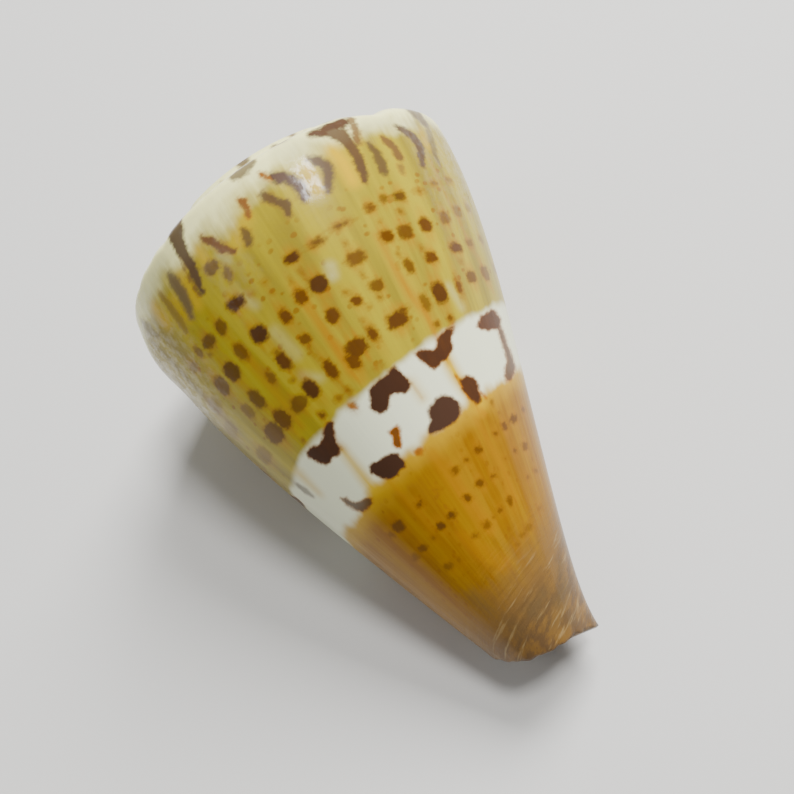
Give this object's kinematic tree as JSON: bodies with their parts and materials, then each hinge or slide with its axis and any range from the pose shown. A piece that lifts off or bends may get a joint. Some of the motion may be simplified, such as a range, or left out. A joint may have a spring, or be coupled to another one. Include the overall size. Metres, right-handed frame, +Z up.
{
  "type": "cone shell",
  "caption": "Cone-shaped sea snail shell with a low coiled spire, a rounded shoulder, a tapering spotted body and a long slit mouth, lying mouth down.",
  "frame": {"origin": "centre of the bounding box in plan, at the height of the surface that the shell lies on", "axes": "+Z up; +Y along the shell, from the pointed base end towards the spire end; +X to the older side of the last whorl"},
  "size_m": [0.0394, 0.058, 0.0362],
  "materials": {
    "shell": "smooth glossy shell with fine growth lines"
  },
  "bodies": {
    "root": {"shell": "shell"}
  },
  "joints": []
}
